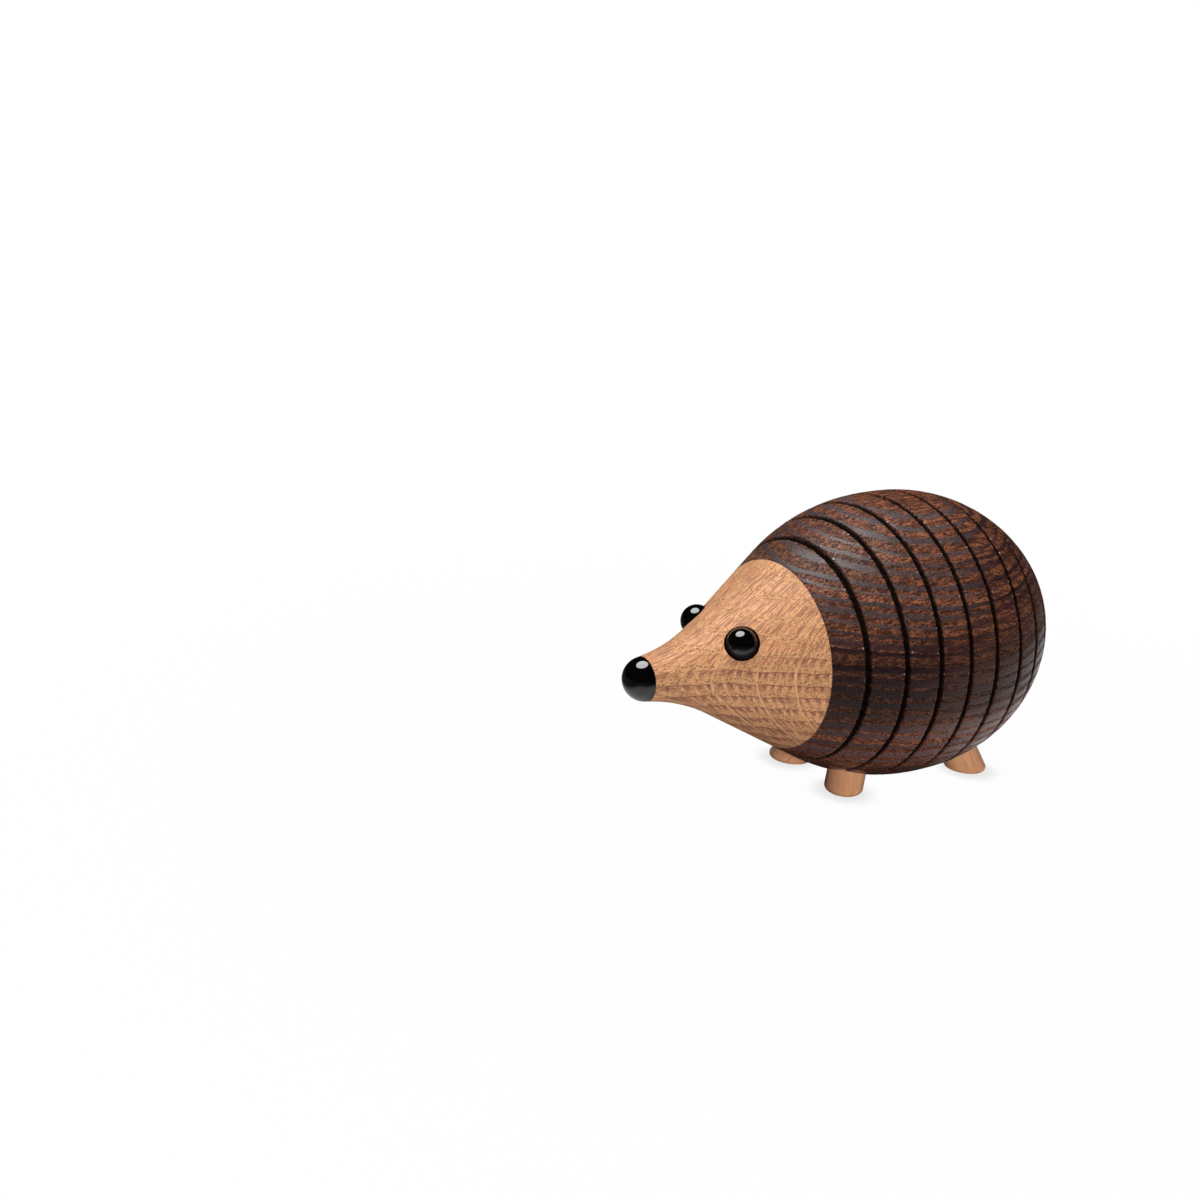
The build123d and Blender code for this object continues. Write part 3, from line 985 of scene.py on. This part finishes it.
def foot_rings(contact, outward, upward):
    """Rings of a dowel from the middle of its flat cut, round the rolled edge and up to its end."""
    feet = settings().feet
    radius = feet.foot_diameter / 2
    edge = feet.foot_edge_radius
    end = foot_bore()[1] - settings().head.end_gap
    lean = outward * cos(feet.foot_splay_angle) + UP * sin(feet.foot_splay_angle)
    across = upward.cross(lean)
    spokes = []
    for i in range(FOOT_SEGMENTS):
        turn = 2 * pi * i / FOOT_SEGMENTS
        out = lean * cos(turn) + across * sin(turn)
        inner = contact + out * (radius - edge)
        centre = inner + upward * ((edge - inner.z) / upward.z)
        below = Vector((centre.x, centre.y, 0))
        spoke = [contact.lerp(below, share_out) for share_out in FOOT_FLAT_SHARES]
        swing = acos(-out.z)
        for k in range(FOOT_EDGE_STEPS + 1):
            part = swing * k / FOOT_EDGE_STEPS
            down = -UP * (sin(swing - part) / sin(swing))
            spoke.append(centre + (down + out * (sin(part) / sin(swing))) * edge)
        start = (spoke[-1] - contact).dot(upward)
        stop = end - feet.dowel_chamfer
        for k in range(1, FOOT_SIDE_STEPS + 1):
            height = start + (stop - start) * k / FOOT_SIDE_STEPS
            spoke.append(contact + out * radius + upward * height)
        spoke.append(contact + out * (radius - feet.dowel_chamfer) + upward * end)
        spokes.append(spoke)
    return spokes, contact + upward * end, lean, across


def foot_mesh(name, contact, outward, upward, offset):
    """Closed mesh of one foot, with its grain coordinates in millimetres."""
    spokes, top, lean, across = foot_rings(contact, outward, upward)
    mesh = bpy.data.meshes.new(name)
    shape = bmesh.new()
    rows = [[shape.verts.new(point) for point in spoke] for spoke in spokes]
    foot_middle = shape.verts.new(contact)
    end_middle = shape.verts.new(top)
    for this, after in zip(rows, rows[1:] + rows[:1]):
        shape.faces.new((foot_middle, this[0], after[0]))
        for k in range(len(this) - 1):
            shape.faces.new((this[k], this[k + 1], after[k + 1], after[k]))
        shape.faces.new((this[-1], end_middle, after[-1]))
    bmesh.ops.recalc_face_normals(shape, faces=shape.faces)
    for face in shape.faces:
        face.smooth = True
    shape.to_mesh(mesh)
    shape.free()
    grain = mesh.attributes.new("grain", "FLOAT_VECTOR", "POINT")
    for vertex, value in zip(mesh.vertices, grain.data):
        apart = vertex.co - contact
        value.vector = Vector((apart.dot(lean), apart.dot(across), apart.dot(upward))) / MM + offset
    mesh.set_sharp_from_angle(angle=SHARP_EDGE)
    return mesh


# Operators

class HEDGEHOG_OT_body(bpy.types.Operator):
    """Turn the grooved body, chip its groove edges and drill its foot bores"""

    bl_idname = "hedgehog.body"
    bl_label = "Turn Body"

    def execute(self, context):
        outline = Outline()
        wood = stained_wood(outline)
        chips = settings().body.chip_depth
        piece = turned("turned_body", body_profile(outline), *outline.axes, BODY_SEGMENTS, wood, chips)
        radius, depth = foot_bore()
        bores = []
        for node, (contact, _, upward) in foot_axes(outline).items():
            start = -2 * radius
            profile = [(start, 0), (start, radius), (depth, radius), (depth, 0)]
            side = upward.orthogonal().normalized()
            bores.append(turned("bore_" + node, profile, contact, upward, side, SMALL_SEGMENTS, wood))
        drill(piece, bores)
        hand_over(piece, "body")
        return {"FINISHED"}


class HEDGEHOG_OT_head(bpy.types.Operator):
    """Turn the head and drill its two eye seats"""

    bl_idname = "hedgehog.head"
    bl_label = "Turn Head"

    def execute(self, context):
        outline = Outline()
        head = settings().head
        oak = oak_wood(outline)
        piece = turned("turned_head", head_profile(outline), *outline.axes, HEAD_SEGMENTS, oak)
        bead = head.eye_diameter / 2
        radius = bead + head.eye_seat_gap
        hole = head.eye_shank_diameter / 2 + head.glue_gap
        deep = -bead - head.eye_shank_length - head.end_gap
        profile = [(deep, 0), (deep, hole), (-bead, hole), (-bead, radius)]
        profile += [(2 * bead, radius), (2 * bead, 0)]
        bored = seat_shade_oak()
        seats = []
        for node, (centre, outward) in eye_axes(outline).items():
            side = outward.orthogonal().normalized()
            seats.append(turned("seat_" + node, profile, centre, outward, side, SMALL_SEGMENTS, bored))
        drill(piece, seats)
        hand_over(piece, "head")
        return {"FINISHED"}


class HEDGEHOG_OT_nose(bpy.types.Operator):
    """Turn the polished cap of the nose"""

    bl_idname = "hedgehog.nose"
    bl_label = "Turn Nose"

    def execute(self, context):
        outline = Outline()
        gloss = black_gloss(outline)
        piece = bake(turned("nose_cap", nose_profile(outline), *outline.axes, SMALL_SEGMENTS, gloss))
        hand_over(piece, "nose")
        return {"FINISHED"}


class HEDGEHOG_OT_eyes(bpy.types.Operator):
    """Turn the two bead eyes on their shanks"""

    bl_idname = "hedgehog.eyes"
    bl_label = "Turn Eyes"

    def execute(self, context):
        outline = Outline()
        gloss = black_gloss(outline, dull_rim=True)
        for node, (centre, outward) in eye_axes(outline).items():
            side = outward.orthogonal().normalized()
            bead = turned("bead_" + node, eye_profile(), centre, outward, side, SMALL_SEGMENTS, gloss)
            hand_over(bake(bead), node)
        return {"FINISHED"}


class HEDGEHOG_OT_feet(bpy.types.Operator):
    """Cut the four splayed dowel feet"""

    bl_idname = "hedgehog.feet"
    bl_label = "Cut Feet"

    def execute(self, context):
        wood = dowel_wood()
        for i, (node, axes) in enumerate(foot_axes(Outline()).items()):
            mesh = foot_mesh("dowel_" + node, *axes, GRAIN_SHIFT * i)
            mesh.materials.append(wood)
            hand_over(new_object("dowel_" + node, mesh), node)
        return {"FINISHED"}


class HEDGEHOG_OT_neck_dowel(bpy.types.Operator):
    """Give the hidden neck dowel its wood"""

    bl_idname = "hedgehog.neck_dowel"
    bl_label = "Finish Neck Dowel"

    def execute(self, context):
        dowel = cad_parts["neck_dowel"]
        dowel.data.materials.clear()
        dowel.data.materials.append(hidden_dowel_wood(Outline()))
        return {"FINISHED"}


class HEDGEHOG_OT_stage(bpy.types.Operator):
    """Lay the white floor and set up the camera, the softbox and the room"""

    bl_idname = "hedgehog.stage"
    bl_label = "Set Up Studio"

    def execute(self, context):
        lay_floor()
        place_camera(Outline())
        hang_lamps()
        light_room()
        context.scene.view_settings.view_transform = "Standard"
        return {"FINISHED"}


FLOOR_RADIUS = 12.0
FLOOR_DROP = 0.02 * MM
FLOOR_SEGMENTS = 96


def lay_floor():
    mesh = bpy.data.meshes.new("floor")
    shape = bmesh.new()
    bmesh.ops.create_circle(shape, cap_ends=True, segments=FLOOR_SEGMENTS, radius=FLOOR_RADIUS)
    bmesh.ops.translate(shape, verts=shape.verts, vec=(0, 0, -FLOOR_DROP))
    shape.to_mesh(mesh)
    shape.free()
    mesh.materials.append(white_paper(Outline()))
    new_object("floor", mesh)


SENSOR_WIDTH = 36.0
NEAREST_SEEN = 0.01
FARTHEST_SEEN = 100.0


def place_camera(outline):
    """Camera that sees the widest ring's centre at its pixel and depth in the photograph."""
    studio = settings().studio
    back, level = camera_axes()
    back = back * cos(studio.elevation) + UP * sin(studio.elevation)
    rise = back.cross(level)
    right = level * cos(studio.roll) + rise * sin(studio.roll)
    up = rise * cos(studio.roll) - level * sin(studio.roll)
    aside = (studio.crown_column - studio.photo_width / 2) / studio.focal_pixels
    above = (studio.photo_height / 2 - studio.crown_row) / studio.focal_pixels
    eye = outline.crown - (right * aside + up * above - back) * studio.crown_distance
    lens = bpy.data.cameras.new("camera")
    lens.sensor_fit = "HORIZONTAL"
    lens.sensor_width = SENSOR_WIDTH
    lens.lens = studio.focal_pixels * SENSOR_WIDTH / studio.photo_width
    lens.clip_start = NEAREST_SEEN
    lens.clip_end = FARTHEST_SEEN
    camera = new_object("camera", lens)
    camera.matrix_world = Matrix((right, up, back)).transposed().to_4x4()
    camera.location = eye
    bpy.context.scene.camera = camera


def camera_axes():
    """Level directions to the camera and to its right."""
    azimuth = settings().studio.azimuth
    return Vector((sin(azimuth), -cos(azimuth), 0)), Vector((cos(azimuth), sin(azimuth), 0))


def disc_lamp(name, diameter, power, distance, direction):
    """Round lamp in a direction from the object's middle, facing it."""
    lamp = bpy.data.lights.new(name, "AREA")
    lamp.shape = "DISK"
    lamp.size = diameter
    lamp.energy = power
    holder = new_object(name, lamp)
    holder.location = (CAD_BOX[0] + CAD_BOX[1]) / 2 + direction.normalized() * distance
    holder.rotation_euler = direction.to_track_quat("Z", "Y").to_euler()
    return holder


def hang_lamps():
    """Softbox overhead, and a weak fill on the camera's side that leaves no reflection."""
    studio = settings().studio
    back, right = camera_axes()
    overhead = UP - right * tan(studio.softbox_lean_left) - back * tan(studio.softbox_lean_back)
    disc_lamp("softbox", studio.softbox_diameter, studio.softbox_power, studio.softbox_distance, overhead)
    ahead = back * cos(studio.fill_swing) + right * sin(studio.fill_swing) + UP * tan(studio.fill_elevation)
    fill = disc_lamp("fill", studio.fill_diameter, studio.fill_power, studio.fill_distance, ahead)
    fill.visible_glossy = False


MIRRORED_ROOM_LOSS = 0.75


def light_room():
    """Dim room round the object; the camera sees it as white, and polished pieces as darker still."""
    world = bpy.data.worlds.new("room")
    world.use_nodes = True
    sheet = NodeSheet(world.node_tree)
    rays = sheet.outs("ShaderNodeLightPath")
    seen = rays["Is Camera Ray"].largest(rays["Is Transmission Ray"])
    strength = sheet.out("ShaderNodeMapRange", {"Value": seen, "To Min": settings().studio.room_light})
    strength = strength * (1.0 - rays["Is Glossy Ray"] * MIRRORED_ROOM_LOSS)
    shader = sheet.out("ShaderNodeBackground", {"Color": (1, 1, 1, 1), "Strength": strength})
    sheet.add("ShaderNodeOutputWorld", {"Surface": shader})
    bpy.context.scene.world = world


class HEDGEHOG_PT_sidebar(bpy.types.Panel):
    """Sizes, colours and steps of the hedgehog"""

    bl_idname = "HEDGEHOG_PT_sidebar"
    bl_label = "Hedgehog"
    bl_space_type = "VIEW_3D"
    bl_region_type = "UI"
    bl_category = "Hedgehog"

    def draw(self, context):
        for group in ("body", "head", "feet", "colours", "studio"):
            sizes = getattr(context.scene.hedgehog, group)
            box = self.layout.box()
            box.label(text=group.capitalize())
            for name in sizes.__annotations__:
                box.prop(sizes, name)
        for step in STEPS:
            self.layout.operator(step.bl_idname)


GROUPS = (HedgehogBodySizes, HedgehogHeadSizes, HedgehogFootSizes, HedgehogColours, HedgehogStudio)
STEPS = (
    HEDGEHOG_OT_body,
    HEDGEHOG_OT_head,
    HEDGEHOG_OT_nose,
    HEDGEHOG_OT_eyes,
    HEDGEHOG_OT_feet,
    HEDGEHOG_OT_neck_dowel,
    HEDGEHOG_OT_stage,
)
CLASSES = (*GROUPS, HedgehogSettings, *STEPS, HEDGEHOG_PT_sidebar)


def register():
    for cls in CLASSES:
        bpy.utils.register_class(cls)
    bpy.types.Scene.hedgehog = PointerProperty(type=HedgehogSettings)


def unregister():
    del bpy.types.Scene.hedgehog
    for cls in reversed(CLASSES):
        bpy.utils.unregister_class(cls)


def main():
    register()
    bpy.ops.hedgehog.body()
    bpy.ops.hedgehog.head()
    bpy.ops.hedgehog.nose()
    bpy.ops.hedgehog.eyes()
    bpy.ops.hedgehog.feet()
    bpy.ops.hedgehog.neck_dowel()
    bpy.ops.hedgehog.stage()


if __name__ == "__main__":
    main()
